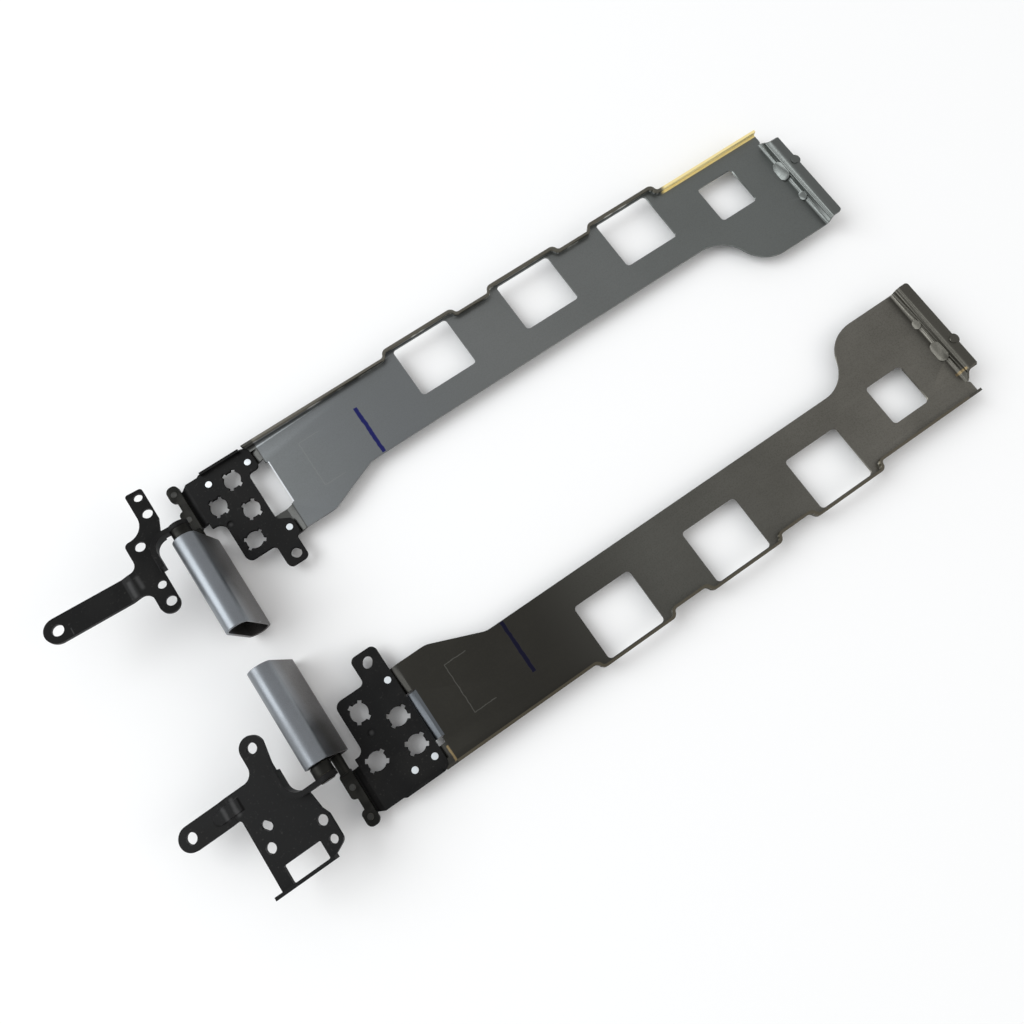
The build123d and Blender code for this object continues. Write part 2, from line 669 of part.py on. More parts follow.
def spring_washers():
    """Cone-shaped spring washers, turned alternately, between the inner link plate and the nut."""
    springs = []
    inner = SHAFT_RADIUS + RUNNING_CLEARANCE
    for number in range(SPRING_COUNT):
        high = SPRINGS_Y - number * SPRING_PITCH
        inner_drop = SPRING_CONE * (number % 2)
        outer_drop = SPRING_CONE - inner_drop
        section = make_face(
            Polyline(
                (inner, high - inner_drop),
                (SPRING_RADIUS, high - outer_drop),
                (SPRING_RADIUS, high - outer_drop - SPRING_THICKNESS),
                (inner, high - inner_drop - SPRING_THICKNESS),
                close=True,
            )
        )
        springs.append(revolve(section, Axis.Y))
    return springs


def shaft_nut():
    """The hexagon nut that presses the stack together."""
    outline = RegularPolygon(NUT_FLATS / 2, 6, major_radius=False)
    outline -= Circle(SHAFT_RADIUS + RUNNING_CLEARANCE)
    return along_y(outline, NUT_Y - NUT_HEIGHT, NUT_Y)


# Link, drawn upright from the display shaft's axis


def sleeve_section(inset):
    """The tall round-ended section of the cover, or of what lies that far inside it."""
    slot = SlotOverall(COVER_HEIGHT - 2 * inset, COVER_WIDTH - 2 * inset, rotation=90)
    return Pos(0, SHAFT_SPACING / 2) * slot


def link_plate(high):
    """A plate with one bore for each shaft, shaped to carry the cover."""
    outline = sleeve_section(COVER_WALL + LINK_CLEARANCE)
    for z in (0, SHAFT_SPACING):
        outline -= Pos(0, z) * Circle(SHAFT_RADIUS + RUNNING_CLEARANCE)
    return along_y(outline, high - LINK_THICKNESS, high)


def cover():
    """The tall sleeve over the link, open at both ends."""
    wall = sleeve_section(0) - sleeve_section(COVER_WALL)
    return along_y(wall, COVER_MOUTH_Y - COVER_LENGTH, COVER_MOUTH_Y)


# Base brackets, drawn from the base shaft's axis with the arm towards -X


def wall_path(wall_x, wall_end):
    """Middle line of the upturned wall, which curls round to the ear at the shaft."""
    ear_middle = EAR_Y + BASE_THICKNESS / 2
    straight_end = (-wall_x, ear_middle - J_RADIUS)
    curl_end = (-wall_x + J_RADIUS, ear_middle)
    up = Line((-wall_x, wall_end), straight_end)
    curl = TangentArc(straight_end, curl_end, tangent=(0, 1))
    return up, curl


def wall_and_ear(wall_x, wall_end):
    """The upturned wall along the plate and the ear that holds the base shaft."""
    up, curl = wall_path(wall_x, wall_end)
    wall_face = trace([up, curl], BASE_THICKNESS)
    wall = plate(wall_face, BASE_BOTTOM, WALL_TOP - BASE_BOTTOM)
    reach = wall_x - J_RADIUS
    height = WALL_TOP + EAR_STRIP_LOW
    strip = Pos(-reach / 2, (WALL_TOP - EAR_STRIP_LOW) / 2) * Rectangle(reach, height)
    ear_face = Circle(EAR_RADIUS) + strip
    ear_face -= Circle(SHAFT_RADIUS + RIVET_CLEARANCE)
    return wall + along_y(ear_face, EAR_Y, EAR_Y + BASE_THICKNESS)


def base_arm(arm_root, arm_reach, arm_y, arm_half):
    """The screw arm, which steps down from the plate and ends in a round eye."""
    step_end = arm_root + ARM_JOGGLE
    points = [
        (-arm_root + ARM_OVERLAP, BASE_TOP),
        (-arm_root, BASE_TOP),
        (-step_end, BASE_TOP - ARM_DROP),
        (-step_end - BASE_THICKNESS, BASE_TOP - ARM_DROP),
        (-step_end - BASE_THICKNESS, BASE_BOTTOM - ARM_DROP),
        (-step_end, BASE_BOTTOM - ARM_DROP),
        (-arm_root, BASE_BOTTOM),
        (-arm_root + ARM_OVERLAP, BASE_BOTTOM),
    ]
    step = side_profile(points, arm_y - arm_half, arm_y + arm_half)
    run = Pos(-(step_end + arm_reach) / 2, arm_y) * Rectangle(arm_reach - step_end, 2 * arm_half)
    run += Pos(-arm_reach, arm_y) * Circle(arm_half)
    run -= Pos(-arm_reach, arm_y) * Circle(ARM_HOLE_RADIUS)
    return step + plate(run, BASE_BOTTOM - ARM_DROP, BASE_THICKNESS)


def base_plate(edges, screw_holes, pin_holes):
    """The flat of a base bracket inside its edges, with its holes."""
    face = make_face(edges)
    for places, radius in ((screw_holes, SCREW_HOLE_RADIUS), (pin_holes, PIN_HOLE_RADIUS)):
        for x, y in places:
            face -= Pos(x, y) * Circle(radius)
    return face


def left_base_bracket():
    """Base bracket with a tall screw tab, a lug and a plain arm."""
    up, curl = wall_path(LEFT_WALL_X, LEFT_WALL_END)
    low = LEFT_ARM_Y - LEFT_ARM_HALF
    high = LEFT_ARM_Y + LEFT_ARM_HALF
    side = -LEFT_ARM_ROOT
    root = side - LEFT_ARM_ROUND - ARM_OVERLAP
    outside = rounded_line(
        [
            (curl @ 1, 0),
            (LEFT_NECK, LEFT_NECK_ROUND),
            ((LEFT_TAB_NEAR, LEFT_TAB_LOW), LEFT_NECK_ROUND),
            ((LEFT_TAB_NEAR, LEFT_TAB_TOP), LEFT_TAB_CORNER),
            ((LEFT_TAB_FAR, LEFT_TAB_TOP), LEFT_TAB_CORNER),
            ((LEFT_TAB_FAR, LEFT_SHOULDER_Y), LEFT_HOLLOW_RADIUS),
            ((side, LEFT_SHOULDER_Y), LEFT_SHOULDER_ROUND),
            ((side, high), LEFT_ARM_ROUND),
            ((root, high), ARM_OVERLAP / 2),
            ((root, low), ARM_OVERLAP / 2),
            ((side, low), LEFT_ARM_ROUND),
            ((side, LEFT_LUG_Y), 0),
        ]
    )
    lug_end = (LEFT_LUG_X, LEFT_LUG_Y)
    lug = ThreePointArc(outside @ 1, ((side + LEFT_LUG_X) / 2, LEFT_LUG_END), lug_end)
    inside = Polyline(lug_end, (LEFT_LUG_X, LEFT_WALL_END), up @ 0)
    face = base_plate([outside, lug, inside, up, curl], LEFT_SCREW_HOLES, LEFT_PIN_HOLES)
    bracket = plate(face, BASE_BOTTOM, BASE_THICKNESS)
    bracket += wall_and_ear(LEFT_WALL_X, LEFT_WALL_END)
    bracket += base_arm(-root, LEFT_ARM_REACH, LEFT_ARM_Y, LEFT_ARM_HALF)
    return bracket


def arm_bead(root):
    """The pressed bead that stiffens the right arm across its step."""
    half = RIGHT_BEAD_LENGTH / 2
    middle = root + ARM_JOGGLE / 2
    low = BASE_TOP - ARM_DROP
    points = [
        (-middle + half, BASE_TOP),
        (-middle + half - RIGHT_BEAD_HEIGHT, BASE_TOP + RIGHT_BEAD_HEIGHT),
        (-root, BASE_TOP + RIGHT_BEAD_HEIGHT),
        (-root - ARM_JOGGLE, low + RIGHT_BEAD_HEIGHT),
        (-middle - half + RIGHT_BEAD_HEIGHT, low + RIGHT_BEAD_HEIGHT),
        (-middle - half, low),
        (-root - ARM_JOGGLE, low - RIGHT_BEAD_HEIGHT),
        (-root, BASE_TOP - RIGHT_BEAD_HEIGHT),
        (-middle + half, BASE_TOP - RIGHT_BEAD_HEIGHT),
    ]
    return side_profile(points, RIGHT_ARM_Y - RIGHT_BEAD_WIDTH / 2, RIGHT_ARM_Y + RIGHT_BEAD_WIDTH / 2)


def right_base_bracket():
    """Base bracket with a wide body, a window under a folded lip, a slot, a lug and a beaded arm."""
    up, curl = wall_path(RIGHT_WALL_X, RIGHT_WALL_END)
    low = RIGHT_ARM_Y - RIGHT_ARM_HALF
    high = RIGHT_ARM_Y + RIGHT_ARM_HALF
    side = -RIGHT_ARM_ROOT
    root = side - RIGHT_ARM_ROUND - ARM_OVERLAP
    outside = rounded_line(
        [
            (curl @ 1, 0),
            (RIGHT_WAIST, RIGHT_NECK_ROUND),
            ((RIGHT_LOBE_X, RIGHT_LOBE_LOW), RIGHT_NECK_ROUND),
            ((RIGHT_LOBE_X, RIGHT_LOBE_HIGH), RIGHT_LOBE_ROUND),
            ((-RIGHT_LIP_LOW, RIGHT_LIP_Y), RIGHT_WINDOW_CORNER / 4),
            ((side, RIGHT_LIP_Y), RIGHT_WINDOW_CORNER / 4),
            ((side, high), RIGHT_ARM_ROUND),
            ((root, high), ARM_OVERLAP / 2),
            ((root, low), ARM_OVERLAP / 2),
            ((RIGHT_LUG_FAR, low), RIGHT_LUG_ROUND),
            ((RIGHT_LUG_FAR, RIGHT_LUG_Y), 0),
        ]
    )
    lug_end = (RIGHT_LUG_NEAR, RIGHT_LUG_Y)
    lug = ThreePointArc(outside @ 1, ((RIGHT_LUG_FAR + RIGHT_LUG_NEAR) / 2, RIGHT_LUG_END), lug_end)
    inside = Polyline(lug_end, RIGHT_LUG_NECK, (RIGHT_LUG_NECK[0], RIGHT_WALL_END), up @ 0)
    face = base_plate([outside, lug, inside, up, curl], RIGHT_SCREW_HOLES, RIGHT_PIN_HOLES)
    window_length = RIGHT_WINDOW_HIGH - RIGHT_WINDOW_LOW
    window_width = RIGHT_LIP_Y - RIGHT_WINDOW_Y
    window_x = -(RIGHT_WINDOW_HIGH + RIGHT_WINDOW_LOW) / 2
    window = RectangleRounded(window_length, window_width, RIGHT_WINDOW_CORNER)
    face -= Pos(window_x, RIGHT_WINDOW_Y + window_width / 2) * window
    slot = SlotOverall(RIGHT_SLOT_LENGTH, RIGHT_SLOT_WIDTH, rotation=RIGHT_SLOT_ANGLE)
    face -= Pos(*RIGHT_SLOT) * slot
    bracket = plate(face, BASE_BOTTOM, BASE_THICKNESS)
    lip_length = RIGHT_LIP_HIGH - RIGHT_LIP_LOW
    lip_middle = (-(RIGHT_LIP_HIGH + RIGHT_LIP_LOW) / 2, RIGHT_LIP_Y + RIGHT_LIP_THICKNESS / 2)
    lip_face = Pos(*lip_middle) * Rectangle(lip_length, RIGHT_LIP_THICKNESS)
    bracket += plate(lip_face, BASE_BOTTOM, BASE_THICKNESS + RIGHT_LIP_HEIGHT)
    bracket += wall_and_ear(RIGHT_WALL_X, RIGHT_WALL_END)
    bracket += base_arm(-root, RIGHT_ARM_REACH, RIGHT_ARM_Y, RIGHT_ARM_HALF)
    bracket += arm_bead(-root)
    return bracket


# Assembly of one hinge


def hinge_pieces(side):
    """All pieces of one hinge in the hinge's own frame, by name."""
    if side == "left":
        lean = LEFT_LINK_LEAN
        tilt = LEFT_BASE_TILT
        outline = left_display_bracket_outline()
        step_x = LEFT_STEP_X
        key_holes = LEFT_KEY_HOLES
        rivet_places = LEFT_RIVETS
        dimple = LEFT_DIMPLE
        ear_slot = LEFT_EAR_SLOT
        base = left_base_bracket()
    else:
        lean = RIGHT_LINK_LEAN
        tilt = RIGHT_BASE_TILT
        outline = right_display_bracket_outline()
        step_x = RIGHT_STEP_X
        key_holes = RIGHT_KEY_HOLES
        rivet_places = RIGHT_RIVETS
        dimple = RIGHT_DIMPLE
        ear_slot = RIGHT_EAR_SLOT
        base = right_base_bracket()
    lower = Pos(0, 0, SHAFT_Z)
    link = lower * Rot(0, -lean, 0)
    upper_x = -SHAFT_SPACING * sin(radians(lean))
    upper_z = SHAFT_Z + SHAFT_SPACING * cos(radians(lean))
    upper = Pos(upper_x, 0, upper_z) * Rot(0, tilt, 0)
    return {
        "rail": [display_rail(key_holes, rivet_places, side == "right")],
        "display_bracket": [display_bracket(outline, step_x, key_holes, rivet_places, dimple, ear_slot)],
        "bracket_rivets": bracket_rivets(rivet_places),
        "blade_rivets": blade_rivets(),
        "display_shaft": [lower * display_shaft()],
        "display_washers": [lower * washer for washer in friction_washers()],
        "display_springs": [lower * spring for spring in spring_washers()],
        "display_nut": [lower * shaft_nut()],
        "outer_link_plate": [link * link_plate(FIRST_LINK_Y)],
        "inner_link_plate": [link * link_plate(SECOND_LINK_Y)],
        "cover": [link * cover()],
        "base_bracket": [upper * base],
        "base_shaft": [upper * base_shaft()],
        "base_washers": [upper * washer for washer in friction_washers()],
        "base_springs": [upper * spring for spring in spring_washers()],
        "base_nut": [upper * shaft_nut()],
    }


def build_pair():
    """Both hinges in the part's frame: the middle of their footprint on the table is the origin."""
    nodes = {}
    for side in ("left", "right"):
        for name, solids in hinge_pieces(side).items():
            placed = [Pos(0, PAIR_GAP / 2, 0) * solid for solid in solids]
            if side == "right":
                placed = [mirror(solid, about=Plane.XZ) for solid in placed]
            nodes[side + "_" + name] = placed
    boxes = [solid.bounding_box() for solids in nodes.values() for solid in solids]
    low_x = min(box.min.X for box in boxes)
    high_x = max(box.max.X for box in boxes)
    low_z = min(box.min.Z for box in boxes)
    shift = Pos(-(low_x + high_x) / 2, 0, -low_z)
    return {name: [shift * solid for solid in solids] for name, solids in nodes.items()}


for node, solids in build_pair().items():
    export_step(Compound(children=solids), "parts/" + node + ".step")
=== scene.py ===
# %% [markdown]
# # A pair of screen hinges for a fold-over laptop
# Two long stamped steel rails each end in a black bracket, a tall sleeve with two shafts in it and a
# second black bracket that is screwed to the keyboard half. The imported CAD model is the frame: it gives
# every piece its place and says what moves with what. Here the pieces get the rounded edges, the
# finishes and the wear that the real ones have.

# %% Load the frame
from math import radians

import bmesh
import bpy
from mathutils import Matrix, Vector


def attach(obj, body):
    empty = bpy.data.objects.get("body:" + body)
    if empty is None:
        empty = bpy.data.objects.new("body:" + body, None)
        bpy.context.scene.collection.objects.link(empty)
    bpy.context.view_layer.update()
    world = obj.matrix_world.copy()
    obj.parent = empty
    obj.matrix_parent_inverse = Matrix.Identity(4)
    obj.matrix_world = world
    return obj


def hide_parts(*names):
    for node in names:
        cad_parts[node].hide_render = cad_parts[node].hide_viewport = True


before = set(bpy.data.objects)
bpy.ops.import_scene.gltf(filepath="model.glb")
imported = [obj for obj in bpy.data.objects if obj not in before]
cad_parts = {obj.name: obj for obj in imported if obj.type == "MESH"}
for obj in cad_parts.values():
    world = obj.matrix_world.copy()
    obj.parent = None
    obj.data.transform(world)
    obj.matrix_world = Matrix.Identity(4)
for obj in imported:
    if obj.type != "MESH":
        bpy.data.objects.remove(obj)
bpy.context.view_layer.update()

scene = bpy.context.scene
MM = 0.001

# %% [markdown]
# ## The camera
# The pair was photographed from almost straight above with a wide lens, a little from the side of the
# short ends. The place, turn and lens were worked out from the rails' windows and the holes of the
# brackets, so that the render can be laid beside the photograph.

# %% Set up the camera
LENS = 30.34
SENSOR_WIDTH = 36.0
CAMERA_PLACE = (-0.045127, -0.057219, 0.246759)
CAMERA_TURN = (0.251565, -0.000932, -0.601708)
camera_data = bpy.data.cameras.new("camera")
camera_data.lens = LENS
camera_data.sensor_width = SENSOR_WIDTH
camera = bpy.data.objects.new("camera", camera_data)
camera.location = CAMERA_PLACE
camera.rotation_euler = CAMERA_TURN
scene.collection.objects.link(camera)
scene.camera = camera
print("lens:", LENS, "mm, height:", round(camera.location.z, 3), "m")

# %% [markdown]
# ## The table top and the light
# The pair lies on a white table under a bright, even room. A flat face mirrors the ceiling, so the shade
# of the rails comes from their colour, with a painted reflection that drifts along them. One very large
# cool lamp stands high on the left: it lights the crests of the sleeves and throws a soft shadow to the
# right.

# %% Lay the table top
def node_of(tree, kind, **settings):
    """A new shader node with some of its settings changed."""
    node = tree.nodes.new("ShaderNode" + kind)
    for name, value in settings.items():
        setattr(node, name, value)
    return node


def new_material(name):
    """A material with nothing but its shader, and that shader."""
    material = bpy.data.materials.new(name)
    material.use_nodes = True
    tree = material.node_tree
    tree.nodes.clear()
    output = node_of(tree, "OutputMaterial")
    shader = node_of(tree, "BsdfPrincipled")
    tree.links.new(shader.outputs["BSDF"], output.inputs["Surface"])
    return material, tree, shader


FLOOR_SIZE = 6.0
FLOOR_WHITE = (0.93, 0.93, 0.925, 1)
FLOOR_ROUGHNESS = 0.9
floor_mesh = bmesh.new()
bmesh.ops.create_grid(floor_mesh, x_segments=1, y_segments=1, size=FLOOR_SIZE / 2)
floor_data = bpy.data.meshes.new("table_top")
floor_mesh.to_mesh(floor_data)
floor_mesh.free()
floor = bpy.data.objects.new("table_top", floor_data)
scene.collection.objects.link(floor)
floor_paint, _, floor_shader = new_material("table_white")
floor_shader.inputs["Base Color"].default_value = FLOOR_WHITE
floor_shader.inputs["Roughness"].default_value = FLOOR_ROUGHNESS
floor_data.materials.append(floor_paint)
print("table top:", FLOOR_SIZE, "m wide")

# %% Place the lamps
def soft_lamp(name, place, width, height, power, tint):
    """A large rectangular lamp that faces the origin, in the middle of the pair."""
    data = bpy.data.lights.new(name, "AREA")
    data.shape = "RECTANGLE"
    data.size = width
    data.size_y = height
    data.energy = power
    data.color = tint
    lamp = bpy.data.objects.new(name, data)
    lamp.location = place
    lamp.rotation_euler = (-Vector(place)).to_track_quat("-Z", "Y").to_euler()
    scene.collection.objects.link(lamp)


COOL = (0.95, 0.98, 1.0)
WARM = (1.0, 0.96, 0.90)
SKY_TINT = (0.99, 0.99, 1.0, 1)
SKY_STRENGTH = 0.66
soft_lamp("left_window", (-1.35, 0.95, 1.55), width=1.8, height=1.8, power=34, tint=COOL)
soft_lamp("right_bounce", (1.3, -1.1, 1.2), width=1.4, height=1.0, power=5, tint=WARM)
world = bpy.data.worlds.new("even_grey")
world.use_nodes = True
sky = world.node_tree.nodes["Background"]
sky.inputs["Color"].default_value = SKY_TINT
sky.inputs["Strength"].default_value = SKY_STRENGTH
scene.world = world
scene.view_settings.view_transform = "Standard"
print("lamps:", [light.name for light in bpy.data.lights])

# %% [markdown]
# ## Effects that several finishes share
# Grain, blotches, rubbed edges with a painted sheen on folds, and a drawn stroke each become a node group.
# A group only puts out masks and heights that change over the surface, and each finish decides what to do
# with them.

# %% Helpers for node groups
def new_group(name, inputs, outputs):
    """An empty shader node group with number sockets, and its two end nodes."""
    group = bpy.data.node_groups.new(name, "ShaderNodeTree")
    for title, value in inputs.items():
        kind = "NodeSocketVector" if isinstance(value, tuple) else "NodeSocketFloat"
        socket = group.interface.new_socket(title, in_out="INPUT", socket_type=kind)
        socket.default_value = value
    for title in outputs:
        group.interface.new_socket(title, in_out="OUTPUT", socket_type="NodeSocketFloat")
    start = group.nodes.new("NodeGroupInput")
    end = group.nodes.new("NodeGroupOutput")
    return group, start, end


def feed(tree, socket, value):
    """Gives a socket a number, or links another socket to it."""
    if isinstance(value, bpy.types.NodeSocket):
        tree.links.new(value, socket)
    else:
        socket.default_value = value


def calc(tree, operation, first, second=0.0, clamp=False):
    """The result of one Math node."""
    node = node_of(tree, "Math", operation=operation, use_clamp=clamp)
    feed(tree, node.inputs[0], first)
    feed(tree, node.inputs[1], second)
    return node.outputs[0]


def ramp(tree, value, low, high, to_low=0.0, to_high=1.0):
    """A value carried smoothly from one range to another."""
    node = node_of(tree, "MapRange", interpolation_type="SMOOTHSTEP")
    for socket, number in zip(node.inputs[:5], (value, low, high, to_low, to_high)):
        feed(tree, socket, number)
    return node.outputs["Result"]


def both(tree, first, second):
    """Two masks, or a mask and a strength, multiplied."""
    return calc(tree, "MULTIPLY", first, second)


def rest_of(tree, mask):
    """What a mask leaves over: one minus it."""
    return calc(tree, "SUBTRACT", 1.0, mask)


def axes_of(tree):
    """The X, Y and Z of a point on the piece, as three sockets."""
    place = node_of(tree, "TexCoord")
    axes = node_of(tree, "SeparateXYZ")
    tree.links.new(place.outputs["Object"], axes.inputs["Vector"])
    return [axes.outputs[axis] for axis in "XYZ"]


def noise(tree, scale, detail=3.0, stretch=(1, 1, 1)):
    """A noise pattern on the piece's own coordinates."""
    place = node_of(tree, "TexCoord")
    mapping = node_of(tree, "Mapping")
    pattern = node_of(tree, "TexNoise")
    tree.links.new(place.outputs["Object"], mapping.inputs["Vector"])
    feed(tree, mapping.inputs["Scale"], stretch)
    tree.links.new(mapping.outputs["Vector"], pattern.inputs["Vector"])
    feed(tree, pattern.inputs["Scale"], scale)
    feed(tree, pattern.inputs["Detail"], detail)
    return pattern.outputs["Fac"]


# %% Sheet grain: the fine lines that rolling leaves in a sheet
sheet_grain, grain_in, grain_out = new_group(
    "sheet_grain", {"Fineness": 900.0, "Stretch": (0.05, 1.0, 1.0)}, ["Lines"]
)
grain_lines = noise(sheet_grain, grain_in.outputs["Fineness"], 4.0, grain_in.outputs["Stretch"])
sheet_grain.links.new(ramp(sheet_grain, grain_lines, 0.3, 0.7), grain_out.inputs["Lines"])
print("group:", sheet_grain.name)

# %% Blotches: handling and uneven coating
blotches, blotch_in, blotch_out = new_group(
    "blotches", {"Fineness": 60.0, "Low": 0.42, "High": 0.66}, ["Mask"]
)
blotch_noise = noise(blotches, blotch_in.outputs["Fineness"], 5.0)
blotch_mask = ramp(blotches, blotch_noise, blotch_in.outputs["Low"], blotch_in.outputs["High"])
blotches.links.new(blotch_mask, blotch_out.inputs["Mask"])
print("group:", blotches.name)

# %% Rubbed edges and a painted sheen on folds: the rounded edges carry an attribute, and noise breaks it up
RUB_SPREAD = 0.25
edge_wear_and_fold_sheen, rub_in, rub_out = new_group(
    "edge_wear_and_fold_sheen", {"Amount": 0.6, "Fineness": 350.0}, ["Mask"]
)
edge_mark = node_of(edge_wear_and_fold_sheen, "Attribute", attribute_name="rounded_edge")
rub_noise = noise(edge_wear_and_fold_sheen, rub_in.outputs["Fineness"], 4.0)
rub_level = rest_of(edge_wear_and_fold_sheen, rub_in.outputs["Amount"])
rub_top = calc(edge_wear_and_fold_sheen, "ADD", rub_level, RUB_SPREAD)
rub_part = ramp(edge_wear_and_fold_sheen, rub_noise, rub_level, rub_top)
wear_and_sheen_mask = calc(edge_wear_and_fold_sheen, "MULTIPLY", edge_mark.outputs["Fac"], rub_part, clamp=True)
edge_wear_and_fold_sheen.links.new(wear_and_sheen_mask, rub_out.inputs["Mask"])
print("group:", edge_wear_and_fold_sheen.name)

# %% Drawn stroke: a straight line of ink or a scratch on a flat face
STROKE_WOBBLE = 0.6 * MM
drawn_stroke, stroke_in, stroke_out = new_group(
    "drawn_stroke",
    {"X": 0.0, "Y": 0.0, "Half width": 0.6 * MM, "Half length": 8 * MM, "Softness": 0.2 * MM},
    ["Mask"],
)
wobble_noise = noise(drawn_stroke, scale=500.0, detail=2.0)
wobble = both(drawn_stroke, calc(drawn_stroke, "SUBTRACT", wobble_noise, 0.5), STROKE_WOBBLE)
inside = []
for place, middle, half in zip(axes_of(drawn_stroke), ("X", "Y"), ("Half width", "Half length")):
    distance = calc(drawn_stroke, "SUBTRACT", place, stroke_in.outputs[middle])
    distance = calc(drawn_stroke, "ABSOLUTE", calc(drawn_stroke, "ADD", distance, wobble))
    edge = calc(drawn_stroke, "ADD", stroke_in.outputs[half], stroke_in.outputs["Softness"])
    inside.append(ramp(drawn_stroke, distance, stroke_in.outputs[half], edge, 1.0, 0.0))
drawn_stroke.links.new(both(drawn_stroke, *inside), stroke_out.inputs["Mask"])
print("group:", drawn_stroke.name)

# %% [markdown]
# ## The finishes
# The rails are plated sheet, the brackets are dipped in black, the sleeves have a satin coat and the small
# parts are plain oiled steel. A single colour on each would look like plastic. So each finish mixes its
# colour and its roughness from the shared effects, on the piece's own coordinates, and a number that is
# the same all over is set on the shader itself.

# %% Helpers for finishes
def use_group(tree, group, **values):
    """A node group placed in a material, with its own values, and its only output."""
    node = tree.nodes.new("ShaderNodeGroup")
    node.node_tree = group
    for title, value in values.items():
        feed(tree, node.inputs[title.replace("_", " ")], value)
    return node.outputs[0]


def blend_colour(tree, mask, first, second):
    """One colour where the mask is 0 and another where it is 1."""
    node = node_of(tree, "Mix", data_type="RGBA")
    feed(tree, node.inputs["Factor"], mask)
    feed(tree, node.inputs[6], first)
    feed(tree, node.inputs[7], second)
    return node.outputs[2]


def tinted(tree, colour, mask, strength, tint):
    """A colour with a tint laid over it where a mask is, as strong as stated."""
    return blend_colour(tree, both(tree, mask, strength), colour, tint)


def bump(tree, shader, height, strength, distance):
    """Lets a height pattern tilt the light on the surface."""
    node = node_of(tree, "Bump")
    node.inputs["Strength"].default_value = strength
    node.inputs["Distance"].default_value = distance
    tree.links.new(height, node.inputs["Height"])
    tree.links.new(node.outputs["Normal"], shader.inputs["Normal"])


# %% [markdown]
# ### Rail steel
# A rail is stamped from sheet and plated. Its skin is browned along the lip and dull on the two lowered
# legs, and it was marked by hand with a stroke of ink and a scribed frame. The marks could be thin pieces
# of their own, but they have no thickness, so they are masks with a place in the rail's own millimetres.
# A painted reflection drifts along each rail, and the bay's edge carries a painted highlight on the left
# rail and a painted reflection on the right one. The two rails differ in shade and in a few touches, and a
# table holds what differs.

# %% Tints and places on the rails
CUT_EDGE_AND_FOLD_SHEEN = (0.60, 0.53, 0.40, 1)
LIP_BROWN = (0.12, 0.105, 0.075, 1)
LIP_GOLD = (1.0, 0.84, 0.40, 1)
BRASS = (0.42, 0.31, 0.15, 1)
DULL_STEP = (0.045, 0.044, 0.040, 1)
PALE_SCRATCH = (0.34, 0.34, 0.31, 1)
SCUFF = (0.66, 0.66, 0.62, 1)
# Where the painted reflection along the rail changes from the near colour to the middle and the far one
NEAR_DRIFT = (-28 * MM, 22 * MM)
FAR_DRIFT = (10 * MM, 110 * MM)
INK_X = -30.3 * MM
INK_MIDDLE = 38.8 * MM
INK_HALF_LENGTH = 8.2 * MM
INK_HALF_WIDTH = 0.5 * MM
INK_SOFTNESS = 0.2 * MM
SCRIBE_X = -50.0 * MM
SCRIBE_LENGTH = 7.0 * MM
SCRIBE_LOW = 31.5 * MM
SCRIBE_HIGH = 46.9 * MM
SCRIBE_HALF_WIDTH = 0.07 * MM
SCRIBE_SOFTNESS = 0.12 * MM
LIP_FOOT = 4.75 * MM
LIP_TOP = 5.4 * MM
SCUFF_FOOT = (4.52 * MM, 4.62 * MM)
SCUFF_TOP = (5.4 * MM, 5.7 * MM)
FLANGE_START = (122 * MM, 123 * MM)
GOLD_START = (89 * MM, 91 * MM)
GOLD_INNER_Y = (53.2 * MM, 53.5 * MM)
LEG_START = (-61.0 * MM, -60.6 * MM)
BAY_MIDDLE = 39.85 * MM
BAY_HALF_LENGTH = 7.2 * MM
BAY_SOFTNESS = 0.15 * MM
BRASS_SOFTNESS = 0.35 * MM

# %% How strong each mark is, and how the two rails differ
CLOUD_STRENGTH = 0.30
SPECK_STRENGTH = 0.22
GRAIN_STRENGTH = 0.06
LIP_STRENGTH = 0.7
FLANGE_STRENGTH = 0.6
SCUFF_STRENGTH = 0.6
WEAR_AND_SHEEN_STRENGTH = 0.75
LEG_STRENGTH = 0.85
BRASS_STRENGTH = 0.55
INK_STRENGTH = 0.95
PLATED_ROUGHNESS = (0.34, 0.48)
RUB_POLISH = 0.10
GOLD_ROUGHNESS = 0.30
GOLD_COAT = 0.6
STEEL_SHINE = 0.5
INK_DULLING = 0.42
RAIL_LOOKS = {
    "left_rail_steel": dict(
        side=1,
        near=(0.174, 0.184, 0.189, 1),
        middle=(0.204, 0.212, 0.208, 1),
        far=(0.176, 0.188, 0.181, 1),
        dark=(0.122, 0.129, 0.123, 1),
        scribe=0.15,
        ink=(0.004, 0.005, 0.085, 1),
        bay_x=-60.05 * MM,
        bay_painted_light=(0.66, 0.68, 0.70, 1),
        brass=[],
    ),
    "right_rail_steel": dict(
        side=-1,
        near=(0.036, 0.0345, 0.030, 1),
        middle=(0.126, 0.125, 0.112, 1),
        far=(0.182, 0.175, 0.153, 1),
        dark=(0.046, 0.044, 0.037, 1),
        scribe=0.16,
        ink=(0.003, 0.003, 0.016, 1),
        bay_x=-60.20 * MM,
        bay_painted_light=(0.105, 0.114, 0.124, 1),
        brass=[
            dict(X=-61.2 * MM, Y=-52.3 * MM, Half_width=0.12 * MM, Half_length=2.2 * MM),
            dict(X=126.0 * MM, Y=-46.9 * MM, Half_width=0.9 * MM, Half_length=0.2 * MM),
        ],
    ),
}
print("rails:", list(RAIL_LOOKS))

